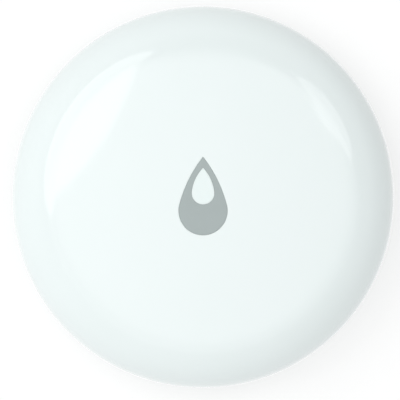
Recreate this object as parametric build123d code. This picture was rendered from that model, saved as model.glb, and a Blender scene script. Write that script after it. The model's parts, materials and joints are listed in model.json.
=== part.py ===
from build123d import *
import os
from math import atan2, cos, degrees, radians, sin, sqrt

# A round water leak sensor that lies on a floor, in millimetres. The floor is Z = 0, the origin
# is under the middle of the disc, and the point of the water drop on its top faces +Y.
# It comes apart into a glossy top cover with a sealed push key, a base with a coin cell behind a
# turning door, a circuit board between them, and two probe screws that reach the floor.

# Housing as a whole
foot_height = 0.5
fit_gap = 0.1
parting_gap = 0.15
cut_overrun = 1.0
join_depth = 0.1

# Top cover: a shallow crown that rolls over into a rounded shoulder
cover_wall = 1.5
crown_wall = 2.0
shoulder_radius = 7.5
cover_overhang = 0.15
side_straight = 0.3
skirt_thickness = 1.1
skirt_chamfer = 1.0
bead_count = 6
bead_angle = 16.0
bead_reach = 0.3
bead_height = 0.6
bead_rise = 0.25
bead_gap = 0.1
cover_rib_count = 6
cover_rib_thickness = 0.8
cover_rib_depth = 0.8
cover_rib_length = 5.5

# Base: bottom plate, rim that takes the skirt, and the bosses
base_plate = 1.5
base_rim_height = 4.55
base_side_radius = 6.0
base_edge_round = 0.5
rim_wall = 1.35
groove_rise = 0.8
upstand_thickness = 0.9
upstand_height = 2.0
gasket_height = 0.8
gasket_side_gap = 0.1
corner_angle = 52.0
probe_boss_radius = 3.0
screw_boss_radius = 2.4
foot_radius = 1.8
foot_round = 0.3
boss_web = 0.9
key_post_width = 2.0
key_post_depth = 1.5

# Coin cell, the common 20 mm by 3.2 mm size
cell_diameter = 20.0
cell_height = 3.2
cell_wall = 0.25
cell_seal_thickness = 0.75
cell_crimp_height = 0.45
cell_crimp_reach = 0.45
cell_edge = 0.3
cell_rim_drop = 0.125

# Battery door: a cup for the cell with three lugs under the base's lips
cell_side_gap = 0.25
door_recess = 0.1
door_flange = 1.3
door_floor = 1.6
door_cup_wall = 0.95
door_edge_round = 0.3
hub_gap = 0.2
lug_count = 3
lug_angle = 26.0
lug_reach = 0.8
lug_thickness = 1.0
lug_gap = 0.05
lock_turn = 45.0
lip_thickness = 1.2
notch_gap = 0.15
notch_angle = 30.0
stop_angle = 5.0
stop_gap_angle = 0.7
seat_gap = 0.1
seal_margin = 0.15
seal_groove_width = 1.4
seal_groove_depth = 0.75
seal_width = 1.2
seal_bevel = 0.2
flange_edge = 0.5
door_gap = 0.15
coin_slot_width = 2.0
coin_slot_length = 15.0
coin_slot_depth = 0.9

# Chamber that the cell reaches up into
chamber_gap = 0.15
chamber_wall = 1.1
chamber_top_gap = 0.6
seat_ring_wall = 1.4
cell_guide_gap = 0.35
cell_guide_count = 4
cell_guide_angle = 14.0
cell_guide_height = 1.1
cell_guide_lift = 0.3
contact_window_width = 5.0

# Probe screws, their seals and the nuts soldered to the board
probe_shaft_radius = 1.25
probe_head_radius = 2.25
probe_head_height = 1.4
probe_head_round = 0.35
probe_tip_chamfer = 0.3
probe_bore_radius = 1.4
probe_seat_gap = 0.15
probe_seal_depth = 0.65
probe_seal_wall = 0.65
probe_seal_bevel = 0.15
probe_web = 1.3
probe_tip_gap = 0.1
cross_length = 2.2
cross_width = 0.6
cross_depth = 0.7
nut_radius = 2.25
nut_height = 1.8
nut_collar_height = 0.6
thread_gap = 0.02

# Circuit board and the screws that hold it
board_thickness = 1.0
board_rim = 2.75
board_edge_gap = 0.5
contact_room = 1.8
board_hole_gap = 0.15
board_screw_radius = 0.95
board_screw_head_radius = 1.9
board_screw_head_height = 1.2
board_screw_length = 4.6
board_screw_head_round = 0.4
board_screw_tip = 0.45
via_radius = 0.4
via_count = 8
via_circle_share = 0.745

# Cell contacts, bent from strip
contact_strip = 0.15
contact_width = 3.6
contact_foot = 2.4
contact_bend = 0.25
contact_touch_gap = 0.05
spring_width = 2.4
spring_pad = 6.0
spring_flat = 8.0
spring_reach = 7.0
spring_tip = 1.0
spring_tip_rise = 0.4

# Push switch on the board
switch_width = 4.5
switch_body_height = 1.4
switch_corner = 0.45
switch_plate_thickness = 0.2
switch_well_radius = 1.8
switch_well_floor = 0.55
switch_hook_width = 1.6
switch_hook_height = 0.8
switch_leg_width = 0.7
switch_leg_spread = 2.9
switch_leg_strip = 0.15
switch_leg_out = 0.45
switch_leg_foot = 0.8
switch_leg_bend = 0.15
snap_dome_rise = 0.38
snap_dome_sheet = 0.08
stem_flange_radius = 1.5
stem_flange_height = 0.43
stem_radius = 1.0
stem_hole_gap = 0.12
stem_height = 1.1
touch_gap = 0.02

# Water drop on the key and the pale window in it
drop_round_radius = 3.25
drop_point_height = 7.2
drop_side_radius = 19.7
drop_y = -1.84
drop_gap = 0.12
window_round_radius = 1.5
window_point_height = 3.5
window_side_radius = 7.9
window_y = 0.72
window_foot = 0.5
window_foot_height = 0.4

# Key flange, membrane and clamp under the crown
key_stop_gap = 0.05
key_flange_rim = 0.64
key_flange_thickness = 0.8
membrane_thickness = 0.5
membrane_web = 0.3
membrane_wave_radius = 0.7
membrane_land = 1.2
membrane_bead_width = 0.8
membrane_bead_height = 0.9
pip_radius = 1.4
pip_length = 0.73
collar_gap = 0.15
collar_wall = 0.55
clamp_thickness = 0.8
clamp_gap = 0.05
clamp_ear_radius = 1.2
clamp_ear_count = 3
stake_radius = 0.7
stake_shoulder_radius = 1.1
stake_hole_gap = 0.08
stake_head_height = 0.5
stake_head_chamfer = 0.25

# Parts soldered on top of the board, each placed by shares of the board's radius
led_length = 2.0
led_width = 1.25
led_base_height = 0.35
led_lens_length = 1.4
led_lens_height = 0.45
led_lens_round = 0.15
radio_shares = (-0.457, -0.192)
radio_width = 6.0
radio_height = 0.85
chip_chamfer = 0.12
pin_mark_radius = 0.35
pin_mark_depth = 0.1
pin_mark_margin = 1.05
crystal_shares = (-0.457, 0.12)
crystal_length = 3.2
crystal_width = 2.5
crystal_height = 0.7
crystal_lid = 0.2
memory_shares = (0.433, -0.096)
memory_length = 4.0
memory_width = 3.0
memory_height = 0.75
resistor_count = 5
resistor_shares = (0.216, 0.3125)
resistor_pitch = 1.3
resistor_length = 1.0
resistor_width = 0.5
resistor_height = 0.35
capacitor_count = 7
capacitor_shares = (-0.26, -0.433)
capacitor_pitch = 1.8
capacitor_length = 1.6
capacitor_width = 0.8
capacitor_height = 0.8
copper_thickness = 0.07
antenna_inset = 1.4
antenna_width = 0.6
antenna_arc = 48.0
antenna_leg_length = 5.0
antenna_leg_angle = 6.0
pad_count = 4
pad_shares = (-0.409, 0.36)
pad_pitch = 1.8
pad_radius = 0.6

# Heights, built up from the floor through the door, the cell, the board and the key
base_bottom = foot_height
plate_top = base_bottom + base_plate
door_face = base_bottom + door_recess
flange_top = door_face + door_flange
seat = flange_top + seat_gap
lip_top = seat + lip_thickness
lug_bottom = lip_top + lug_gap
lug_top = lug_bottom + lug_thickness
cell_bottom = door_face + door_floor
cell_top = cell_bottom + cell_height
board_bottom = cell_top + contact_room
board_top = board_bottom + board_thickness
switch_top = board_top + switch_body_height
plate_face = switch_top + switch_plate_thickness
stem_top = plate_face + stem_height
pip_bottom = stem_top + touch_gap
membrane_bottom = pip_bottom + pip_length
membrane_top = membrane_bottom + membrane_thickness
key_flange_top = membrane_top + key_flange_thickness
crown_inside = key_flange_top + key_stop_gap
cover_top = crown_inside + crown_wall
groove_floor = plate_top + groove_rise
skirt_bottom = groove_floor + gasket_height
upstand_top = groove_floor + upstand_height
rim_top = base_bottom + base_rim_height
cover_edge = rim_top + parting_gap
shoulder_height = cover_edge + side_straight
clamp_top = membrane_top - membrane_bead_height
clamp_bottom = clamp_top - clamp_thickness
chamber_top = board_bottom - chamber_top_gap
guide_bottom = lug_top + cell_guide_lift

# Radii, built up from the cell outwards
cell_radius = cell_diameter / 2
cup_radius = cell_radius + cell_side_gap
hub_radius = cup_radius + door_cup_wall
lip_radius = hub_radius + hub_gap
lug_radius = hub_radius + lug_reach
notch_radius = lug_radius + notch_gap
seal_groove_inner = notch_radius + seal_margin
seal_groove_outer = seal_groove_inner + seal_groove_width
flange_radius = seal_groove_outer + flange_edge
recess_radius = flange_radius + door_gap
seat_ring_radius = recess_radius + seat_ring_wall
chamber_radius = notch_radius + chamber_gap
chamber_outer = chamber_radius + chamber_wall
probe_seat_radius = probe_head_radius + probe_seat_gap
corner_radius = recess_radius + probe_web + probe_seat_radius
board_radius = corner_radius + board_rim
key_post_inside = board_radius - key_post_depth
upstand_inside = board_radius + board_edge_gap
upstand_radius = upstand_inside + upstand_thickness
skirt_inside = upstand_radius + fit_gap
skirt_radius = skirt_inside + skirt_thickness
rim_inside = skirt_radius + fit_gap
base_radius = rim_inside + rim_wall
housing_radius = base_radius + cover_overhang
key_reach = max(drop_y + drop_point_height, drop_round_radius - drop_y)
key_flange_radius = key_reach + key_flange_rim
boss_inside = key_flange_radius + 2 * membrane_wave_radius
membrane_radius = boss_inside + membrane_land
collar_inside = membrane_radius + collar_gap
collar_radius = collar_inside + collar_wall
stake_circle = collar_radius + stake_radius + fit_gap

# The switch is under the drop's round end, and the lamp under the middle of its window
switch_y = drop_y
led_y = window_y + (window_point_height - window_round_radius) / 2


def place(radius, angle):
    """The X and Y of a point that far from the axis, at an angle from +X."""
    return radius * cos(radians(angle)), radius * sin(radians(angle))


def cylinder(radius, low, high, x=0, y=0):
    return Pos(x, y, low) * extrude(Circle(radius), high - low)


def tube(outer, inner, low, high):
    return Pos(0, 0, low) * extrude(Circle(outer) - Circle(inner), high - low)


def block(x_size, y_size, low, high, x=0, y=0):
    return Pos(x, y, low) * extrude(Rectangle(x_size, y_size), high - low)


def turned(points):
    """A solid of revolution about Z from the corners of its half section, as (radius, height)."""
    return revolve(Plane.XZ * make_face(Polyline(*points, close=True)), Axis.Z)


def arc_of_ring(outer, inner, low, high, middle, width):
    """Part of a ring, centred on an angle and as wide as another angle."""
    section = Polyline((inner, low), (outer, low), (outer, high), (inner, high), close=True)
    swept = revolve(Plane.XZ * make_face(section), Axis.Z, revolution_arc=width)
    return Rot(0, 0, middle - width / 2) * swept


def around(count, first=0.0):
    """Evenly spaced angles round the axis."""
    return [first + 360 / count * i for i in range(count)]


def joined(pieces):
    """One solid, or one group of solids, from a list."""
    return pieces[0] + pieces[1:]


probe_angles = [-corner_angle, 180 + corner_angle]
screw_angles = [corner_angle, 180 - corner_angle]
probe_places = [place(corner_radius, angle) for angle in probe_angles]
screw_places = [place(corner_radius, angle) for angle in screw_angles]
lug_angles = around(lug_count, 90 + lock_turn)
notch_angles = around(lug_count, 90)
bead_angles = around(bead_count)
stake_places = [place(stake_circle, angle) for angle in around(clamp_ear_count, 90)]


def drop_face(round_radius, point_height, side_radius, y, grow=0.0):
    """A water drop: a round end at height y, and two arcs that leave it smoothly and meet in a
    point above. A side arc's centre lies across the middle line, at the distance that makes it
    touch the round end and pass through the point."""
    between = side_radius - round_radius
    rise = (point_height**2 + round_radius**2 - 2 * side_radius * round_radius) / (2 * point_height)
    reach = sqrt(between**2 - rise**2)
    side = side_radius + grow
    tip = rise + sqrt(side**2 - reach**2)
    start = degrees(atan2(-rise, reach))
    end = degrees(atan2(tip - rise, reach))
    right = CenterArc((-reach, rise), side, start, end - start)
    left = CenterArc((reach, rise), side, 180 - end, end - start)
    bottom = CenterArc((0, 0), round_radius + grow, 180 - start, 180 + 2 * start)
    return Pos(0, y) * make_face([right, left, bottom])


def key_outline(grow=0.0):
    return drop_face(drop_round_radius, drop_point_height, drop_side_radius, drop_y, grow)


def window_outline(grow=0.0):
    return drop_face(window_round_radius, window_point_height, window_side_radius, window_y, grow)


def under_cover(inset):
    """Everything under the cover's outer surface set in by a distance, down to the cover's edge.
    The crown's radius is the one that touches the shoulder and reaches the top."""
    shoulder_x = housing_radius - shoulder_radius
    rise = cover_top - shoulder_height
    crown_radius = (shoulder_x**2 + rise**2 - shoulder_radius**2) / (2 * (rise - shoulder_radius))
    crown_z = cover_top - crown_radius
    lean = degrees(atan2(shoulder_height - crown_z, shoulder_x))
    crown = CenterArc((0, crown_z), crown_radius - inset, lean, 90 - lean)
    shoulder = CenterArc((shoulder_x, shoulder_height), shoulder_radius - inset, 0, lean)
    side = housing_radius - inset
    rest = Polyline((0, cover_top - inset), (0, cover_edge), (side, cover_edge), (side, shoulder_height))
    return revolve(Plane.XZ * make_face([crown, shoulder, rest]), Axis.Z)


def cover_ribs():
    """Shallow ribs that stiffen the crown between the key's boss and the shoulder."""
    band = under_cover(cover_wall - join_depth) - under_cover(cover_wall + cover_rib_depth)
    length = cover_rib_length + join_depth
    middle = collar_radius - join_depth + length / 2
    bar = block(length, cover_rib_thickness, cover_edge, cover_top, middle)
    return [band & (Rot(0, 0, angle) * bar) for angle in around(cover_rib_count)]


def cover_skirt():
    """The tongue that goes down into the base's rim, with a thickened root above it."""
    root = cover_edge + skirt_chamfer
    wall_inside = housing_radius - cover_wall
    points = [
        (skirt_inside, skirt_bottom),
        (skirt_radius, skirt_bottom),
        (skirt_radius, cover_edge),
        (base_radius, cover_edge),
        (base_radius, root),
        (wall_inside, root + wall_inside - skirt_inside),
        (skirt_inside, root),
    ]
    return turned(points)


def snap_beads():
    """Short beads on the skirt that click into pockets in the base's rim."""
    low = skirt_bottom + bead_rise
    inner = skirt_radius - join_depth
    outer = skirt_radius + bead_reach
    points = [
        (inner, low),
        (skirt_radius, low),
        (outer, low + bead_reach),
        (outer, low + bead_height - fit_gap),
        (skirt_radius, low + bead_height),
        (inner, low + bead_height),
    ]
    section = Plane.XZ * make_face(Polyline(*points, close=True))
    bead = revolve(section, Axis.Z, revolution_arc=bead_angle)
    return [Rot(0, 0, angle - bead_angle / 2) * bead for angle in bead_angles]


def stakes():
    """Posts that pass through the clamp's ears, with heads formed over them."""
    posts = []
    head_top = clamp_bottom - touch_gap
    for x, y in stake_places:
        shoulder = cylinder(stake_shoulder_radius, clamp_top + clamp_gap, crown_inside, x, y)
        post = cylinder(stake_radius, head_top, crown_inside, x, y)
        head = cylinder(stake_shoulder_radius, head_top - stake_head_height, head_top, x, y)
        head = chamfer(head.faces().sort_by(Axis.Z)[0].edges(), stake_head_chamfer)
        posts += [shoulder, post, head]
    return posts


def top_cover():
    inside = under_cover(cover_wall)
    shell = under_cover(0) - inside
    solid = under_cover(cover_wall - join_depth)
    land = cylinder(boss_inside, crown_inside, cover_top) & solid
    boss = tube(collar_radius, boss_inside, membrane_top, cover_top) & solid
    collar = tube(collar_radius, collar_inside, clamp_top + clamp_gap, membrane_top + join_depth)
    posts = joined(stakes())
    cover = joined([shell, cover_skirt(), land, boss, collar, posts] + snap_beads() + cover_ribs())
    opening = Pos(0, 0, key_flange_top) * extrude(key_outline(drop_gap), cover_top)
    return cover - opening


def base_profile():
    """The base turned in one piece: plate, curved side, rim with its groove, and the door's seat."""
    side_x = base_radius - base_side_radius
    drop = rim_top - base_bottom
    flat_radius = side_x + sqrt(base_side_radius**2 - drop**2)
    lower = degrees(atan2(-drop, flat_radius - side_x))
    side = CenterArc((side_x, rim_top), base_side_radius, lower, -lower)
    points = [
        (base_radius, rim_top),
        (rim_inside, rim_top),
        (rim_inside, groove_floor),
        (upstand_radius, groove_floor),
        (upstand_radius, upstand_top),
        (upstand_inside, upstand_top),
        (upstand_inside, plate_top),
        (seat_ring_radius, plate_top),
        (seat_ring_radius, lip_top),
        (lip_radius, lip_top),
        (lip_radius, seat),
        (recess_radius, seat),
        (recess_radius, base_bottom),
        (flat_radius, base_bottom),
    ]
    face = make_face([side, Polyline(*points)])
    corner = face.vertices().sort_by_distance((flat_radius, base_bottom))[0]
    return revolve(Plane.XZ * fillet(corner, base_edge_round), Axis.Z)


def cell_chamber():
    """The wall round the cell above the door's lips, open at both contacts, with four guides."""
    wall = tube(chamber_outer, chamber_radius, lip_top - join_depth, chamber_top)
    window = block(2 * chamber_outer + cut_overrun, contact_window_width, guide_bottom, chamber_top + cut_overrun)
    guide_outer = chamber_radius + join_depth
    guide_inner = cell_radius + cell_guide_gap
    guide_top = guide_bottom + cell_guide_height
    guides = [
        arc_of_ring(guide_outer, guide_inner, guide_bottom, guide_top, angle, cell_guide_angle)
        for angle in around(cell_guide_count, 180 / cell_guide_count)
    ]
    return joined([wall - window] + guides)


def door_stops():
    """Blocks on the lips that end the door's turn, locked on one side and open on the other."""
    clear = lug_angle / 2 + stop_gap_angle + stop_angle / 2
    outer = chamber_radius + join_depth
    locked = [angle + clear for angle in lug_angles]
    opened = [angle - clear for angle in notch_angles]
    return [
        arc_of_ring(outer, lip_radius + join_depth, lip_top - join_depth, lug_top, angle, stop_angle)
        for angle in locked + opened
    ]


def probe_boss(x, y):
    """The boss round a probe screw, before its bore is cut."""
    return cylinder(probe_boss_radius, base_bottom, board_bottom, x, y)


def probe_cut(x, y):
    """The bore of a probe's boss, wide at the floor for the screw's head and its seal."""
    seal_top = probe_head_height + probe_seal_depth
    bore = cylinder(probe_bore_radius, 0, board_bottom + cut_overrun, x, y)
    head_seat = cylinder(probe_seat_radius, 0, probe_head_height, x, y)
    seal_pocket = cylinder(probe_bore_radius + probe_seal_wall, 0, seal_top, x, y)
    return joined([bore, head_seat, seal_pocket])


def screw_boss(x, y):
    """A boss that a board screw bites into, with a moulded foot below it."""
    boss = cylinder(screw_boss_radius, base_bottom, board_bottom, x, y)
    foot = cylinder(foot_radius, 0, base_bottom + join_depth, x, y)
    foot = fillet(foot.faces().sort_by(Axis.Z)[0].edges(), foot_round)
    return boss + foot


def boss_webs():
    """Webs that tie each boss to the upstand."""
    length = upstand_inside + join_depth - corner_radius
    bar = block(length, boss_web, plate_top - join_depth, upstand_top, corner_radius + length / 2)
    return [Rot(0, 0, angle) * bar for angle in probe_angles + screw_angles]


def key_post():
    """A post at -X that the board's notch fits round, so that the board goes in one way only."""
    length = upstand_inside + join_depth - key_post_inside
    middle = key_post_inside + length / 2
    return block(length, key_post_width, plate_top - join_depth, board_top, -middle)


def base_shell():
    base = joined(
        [base_profile(), cell_chamber(), key_post()]
        + door_stops()
        + [probe_boss(x, y) for x, y in probe_places]
        + [screw_boss(x, y) for x, y in screw_places]
        + boss_webs()
    )
    for angle in notch_angles:
        outer, inner = notch_radius, lip_radius - cut_overrun
        base -= arc_of_ring(outer, inner, seat - join_depth, lug_bottom, angle, notch_angle)
    for x, y in probe_places:
        base -= probe_cut(x, y)
    for x, y in screw_places:
        hole = board_screw_radius + thread_gap
        depth = board_top - board_screw_length - fit_gap
        base -= cylinder(hole, depth, board_bottom + cut_overrun, x, y)
    low = skirt_bottom + bead_rise - bead_gap
    high = low + bead_height + 2 * bead_gap
    for angle in bead_angles:
        outer, inner = skirt_radius + bead_reach + bead_gap, rim_inside - join_depth
        width = bead_angle + degrees(2 * bead_gap / skirt_radius)
        base -= arc_of_ring(outer, inner, low, high, angle, width)
    return base


def housing_gasket():
    outer = rim_inside - gasket_side_gap
    inner = upstand_radius + gasket_side_gap
    return tube(outer, inner, groove_floor, skirt_bottom)


def battery_door():
    flange = cylinder(flange_radius, door_face, flange_top)
    flange = fillet(flange.faces().sort_by(Axis.Z)[0].edges(), door_edge_round)
    hub = cylinder(hub_radius, flange_top - join_depth, lug_top)
    lugs = [
        arc_of_ring(lug_radius, hub_radius - join_depth, lug_bottom, lug_top, angle, lug_angle)
        for angle in lug_angles
    ]
    door = joined([flange, hub] + lugs)
    door -= cylinder(cup_radius, cell_bottom, lug_top + cut_overrun)
    groove_low = flange_top - seal_groove_depth
    door -= tube(seal_groove_outer, seal_groove_inner, groove_low, flange_top + cut_overrun)
    slot = extrude(SlotOverall(coin_slot_length, coin_slot_width), coin_slot_depth + cut_overrun)
    return door - Pos(0, 0, door_face - cut_overrun) * slot


def battery_door_seal():
    """The door's sealing ring, as squeezed between its groove and the base."""
    middle = (seal_groove_inner + seal_groove_outer) / 2
    low = flange_top - seal_groove_depth
    ring = tube(middle + seal_width / 2, middle - seal_width / 2, low, seat - touch_gap)
    return chamfer(ring.edges(), seal_bevel)


def cell_can():
    top = cell_top - cell_rim_drop
    crimp = cell_top - cell_crimp_height
    inside = cell_radius - cell_wall
    points = [
        (0, cell_bottom),
        (cell_radius - cell_edge, cell_bottom),
        (cell_radius, cell_bottom + cell_edge),
        (cell_radius, crimp),
        (cell_radius - cell_crimp_reach, top),
        (cell_radius - cell_crimp_reach - cell_wall, top - cell_wall),
        (inside, crimp),
        (inside, cell_bottom + cell_wall + cell_edge),
        (inside - cell_edge, cell_bottom + cell_wall),
        (0, cell_bottom + cell_wall),
    ]
    return turned(points)


def cell_gasket():
    outer = cell_radius - cell_wall
    inner = outer - cell_seal_thickness
    low = cell_bottom + cell_wall
    crimp = cell_top - cell_crimp_height
    top = cell_top - cell_rim_drop - cell_wall
    points = [
        (inner, low),
        (outer - cell_edge, low),
        (outer, low + cell_edge),
        (outer, crimp),
        (cell_radius - cell_crimp_reach - cell_wall, top),
        (inner, top),
    ]
    return turned(points)


def cell_cap():
    outer = cell_radius - cell_wall - cell_seal_thickness
    inner = outer - cell_wall
    low = cell_bottom + cell_wall + cell_crimp_height
    points = [
        (0, cell_top),
        (outer - cell_edge, cell_top),
        (outer, cell_top - cell_edge),
        (outer, low),
        (inner, low),
        (inner, cell_top - cell_wall),
        (0, cell_top - cell_wall),
    ]
    return turned(points)


def cell_core():
    """The packed cathode, separator and anode, as one body."""
    radius = cell_radius - 2 * cell_wall - cell_seal_thickness
    return cylinder(radius, cell_bottom + cell_wall, cell_top - cell_wall)


def strip(points, thickness, bend, width):
    """A bent metal strip that follows points in the XZ plane, as wide along Y as given."""
    section = trace(FilletPolyline(*points, radius=bend), thickness)
    return extrude(Plane.XZ * section, width / 2, both=True)


def positive_contact():
    """Hangs from the board beside the cell and springs against the can's side."""
    board = board_bottom - contact_strip / 2
    leg = chamber_radius + chamber_wall / 2
    low = guide_bottom + contact_strip / 2
    touch = cell_radius + contact_touch_gap + contact_strip / 2
    points = [
        (leg + contact_foot, board),
        (leg, board),
        (leg, low),
        (touch + (leg - touch) / 2, low),
        (touch, low + cell_edge),
        (touch + cell_edge, cell_top + contact_room / 2),
    ]
    return strip(points, contact_strip, contact_bend, contact_width)


def positive_contacts():
    right = positive_contact()
    return right + Rot(0, 0, 180) * right


def negative_contact():
    """A pad soldered under the board with two fingers that press on the cell's cap."""
    board = board_bottom - contact_strip / 2
    touch = cell_top + contact_touch_gap + contact_strip / 2
    half = [
        (spring_flat / 2, board),
        (spring_reach, touch),
        (spring_reach + spring_tip, touch + spring_tip_rise),
    ]
    mirrored = [(-x, z) for x, z in reversed(half)]
    pad = block(spring_pad, spring_pad, board_bottom - contact_strip, board_bottom)
    return strip(mirrored + half, contact_strip, contact_bend, spring_width) + pad


def circuit_board():
    board = cylinder(board_radius, board_bottom, board_top)
    for x, y in probe_places:
        board -= cylinder(probe_bore_radius, board_bottom, board_top, x, y)
    for x, y in screw_places:
        board -= cylinder(board_screw_radius + board_hole_gap, board_bottom, board_top, x, y)
    notch_inner = key_post_inside - board_hole_gap
    notch_length = board_radius - notch_inner + cut_overrun
    notch_width = key_post_width + 2 * board_hole_gap
    notch = block(notch_length, notch_width, board_bottom, board_top, -notch_inner - notch_length / 2)
    board -= notch
    for angle in around(via_count, 180 / via_count):
        x, y = place(via_circle_share * board_radius, angle)
        board -= cylinder(via_radius, board_bottom, board_top, x, y)
    return board


def cross_cut(top, x, y):
    """The cross recess of a screw head, cut downwards from a height."""
    bar = SlotOverall(cross_length, cross_width)
    cross = bar + Rot(0, 0, 90) * bar
    return Pos(x, y, top - cross_depth) * extrude(cross, cross_depth + cut_overrun)


def board_screw(x, y):
    head_top = board_top + board_screw_head_height
    head = cylinder(board_screw_head_radius, board_top, head_top, x, y)
    head = fillet(head.faces().sort_by(Axis.Z)[-1].edges(), board_screw_head_round)
    shaft = cylinder(board_screw_radius, board_top - board_screw_length, board_top + join_depth, x, y)
    shaft = chamfer(shaft.faces().sort_by(Axis.Z)[0].edges(), board_screw_tip)
    return head + shaft - cross_cut(head_top, x, y)


def board_screws():
    return joined([board_screw(x, y) for x, y in screw_places])


def probe_screw(x, y):
    """A pan-head screw whose head stands on the floor and whose tip ends in the board's nut."""
    head = cylinder(probe_head_radius, 0, probe_head_height, x, y)
    head = fillet(head.faces().sort_by(Axis.Z)[0].edges(), probe_head_round)
    tip = board_top + nut_height - probe_tip_gap
    shaft = cylinder(probe_shaft_radius, probe_head_height - join_depth, tip, x, y)
    shaft = chamfer(shaft.faces().sort_by(Axis.Z)[-1].edges(), probe_tip_chamfer)
    cross = Rot(180, 0, 0) * cross_cut(0, x, -y)
    return head + shaft - cross


def probe_left():
    return probe_screw(*probe_places[1])


def probe_right():
    return probe_screw(*probe_places[0])


def probe_seals():
    """A sealing ring under each probe's head, as squeezed in its pocket."""
    inner = probe_shaft_radius + touch_gap
    outer = probe_bore_radius + probe_seal_wall - touch_gap
    ring = tube(outer, inner, probe_head_height, probe_head_height + probe_seal_depth)
    ring = chamfer(ring.edges(), probe_seal_bevel)
    return joined([Pos(x, y, 0) * ring for x, y in probe_places])


def probe_nuts():
    """Nuts on the board with a hexagon above a round collar, one for each probe."""
    hexagon = RegularPolygon(nut_radius, 6)
    nut = Pos(0, 0, board_top) * extrude(hexagon, nut_height)
    collar = cylinder(nut_radius, board_top, board_top + nut_collar_height)
    nut = nut + collar - cylinder(probe_shaft_radius + thread_gap, board_top, board_top + nut_height)
    return joined([Pos(x, y, 0) * nut for x, y in probe_places])


def drop_button():
    """The grey drop: its top follows the crown, and its round flange is held under the cover."""
    prism = Pos(0, 0, key_flange_top - join_depth) * extrude(key_outline(), cover_top)
    flange = cylinder(key_flange_radius, membrane_top, key_flange_top)
    key = (prism & under_cover(0)) + flange
    hole = Pos(0, 0, membrane_top) * extrude(window_outline(), cover_top)
    step = Pos(0, 0, membrane_top) * extrude(window_outline(window_foot), window_foot_height)
    return key - hole - step


def indicator_window():
    """The pale drop inside the grey one, which carries the light up from the board."""
    column = Pos(0, 0, membrane_top) * extrude(window_outline(), cover_top)
    foot = Pos(0, 0, membrane_top) * extrude(window_outline(window_foot), window_foot_height)
    return (column & under_cover(0)) + foot


def button_membrane():
    """A silicone sheet that seals the key, with a rolled edge and a pip over the switch."""
    wave_x = key_flange_radius + membrane_wave_radius
    wave_z = membrane_top - membrane_web
    ring = Circle(membrane_wave_radius) - Circle(membrane_wave_radius - membrane_web)
    below = Pos(0, -membrane_wave_radius) * Rectangle(2 * membrane_wave_radius, 2 * membrane_wave_radius)
    wave = revolve(Plane.XZ * Pos(wave_x, wave_z) * (ring & below), Axis.Z)
    inner_edge = key_flange_radius + membrane_web
    outer_edge = boss_inside - membrane_web
    middle = cylinder(inner_edge, membrane_bottom, membrane_top)
    land = tube(membrane_radius, outer_edge, wave_z, membrane_top)
    bead = tube(membrane_radius, membrane_radius - membrane_bead_width, clamp_top, membrane_top)
    pip = cylinder(pip_radius, pip_bottom, membrane_bottom + join_depth, 0, switch_y)
    return joined([middle, wave, land, bead, pip])


def membrane_clamp():
    """A ring with three ears that holds the membrane's edge up against the cover's boss."""
    ring = cylinder(collar_radius - fit_gap, clamp_bottom, clamp_top)
    ears = [cylinder(clamp_ear_radius, clamp_bottom, clamp_top, x, y) for x, y in stake_places]
    clamp = joined([ring] + ears) - cylinder(boss_inside + collar_gap, clamp_bottom, clamp_top)
    for x, y in stake_places:
        clamp -= cylinder(stake_radius + stake_hole_gap, clamp_bottom, clamp_top, x, y)
    return clamp


def switch_body():
    body = block(switch_width, switch_width, board_top, switch_top, 0, switch_y)
    body = chamfer(body.edges().filter_by(Axis.Z), switch_corner)
    floor = board_top + switch_well_floor
    return body - cylinder(switch_well_radius, floor, switch_top, 0, switch_y)


def switch_plate():
    """The steel plate over the switch, with two hooks down its sides."""
    plate = block(switch_width, switch_width, switch_top, plate_face, 0, switch_y)
    plate = chamfer(plate.edges().filter_by(Axis.Z), switch_corner)
    for side in (-1, 1):
        y = switch_y + side * (switch_width + switch_plate_thickness) / 2
        low = plate_face - switch_hook_height
        plate += block(switch_hook_width, switch_plate_thickness, low, plate_face, 0, y)
    return plate - cylinder(stem_radius + stem_hole_gap, switch_top, plate_face, 0, switch_y)


def switch_terminals():
    """Four bent legs that stand beside the switch on the board."""
    level = board_top + switch_well_floor
    out = switch_width / 2 + switch_leg_out
    foot = board_top + switch_leg_strip / 2
    points = [(switch_width / 2, level), (out, level), (out, foot), (out + switch_leg_foot, foot)]
    leg = strip(points, switch_leg_strip, switch_leg_bend, switch_leg_width)
    legs = []
    for side in (0, 180):
        for end in (-1, 1):
            y = switch_y + end * switch_leg_spread / 2
            legs.append(Pos(0, y, 0) * Rot(0, 0, side) * leg)
    return joined(legs)


def switch_snap_dome():
    """The thin sprung disc that gives the click, bulging up under the stem."""
    floor = board_top + switch_well_floor
    span = switch_well_radius - stem_hole_gap
    radius = (span**2 + snap_dome_rise**2) / (2 * snap_dome_rise)
    centre = floor + snap_dome_rise - radius
    shell = Pos(0, switch_y, centre) * (Sphere(radius) - Sphere(radius - snap_dome_sheet))
    return shell & cylinder(span, floor, switch_top, 0, switch_y)


def switch_stem():
    low = switch_top - touch_gap - stem_flange_height
    flange = cylinder(stem_flange_radius, low, switch_top - touch_gap, 0, switch_y)
    shaft = cylinder(stem_radius, low + join_depth, stem_top, 0, switch_y)
    return flange + shaft


def indicator_led():
    base_top = board_top + led_base_height
    base = block(led_length, led_width, board_top, base_top, 0, led_y)
    lens = block(led_lens_length, led_width, base_top, base_top + led_lens_height, 0, led_y)
    lens = fillet(lens.faces().sort_by(Axis.Z)[-1].edges(), led_lens_round)
    return base + lens


def on_board(shares):
    """The X and Y of a place on the board."""
    return shares[0] * board_radius, shares[1] * board_radius


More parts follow.
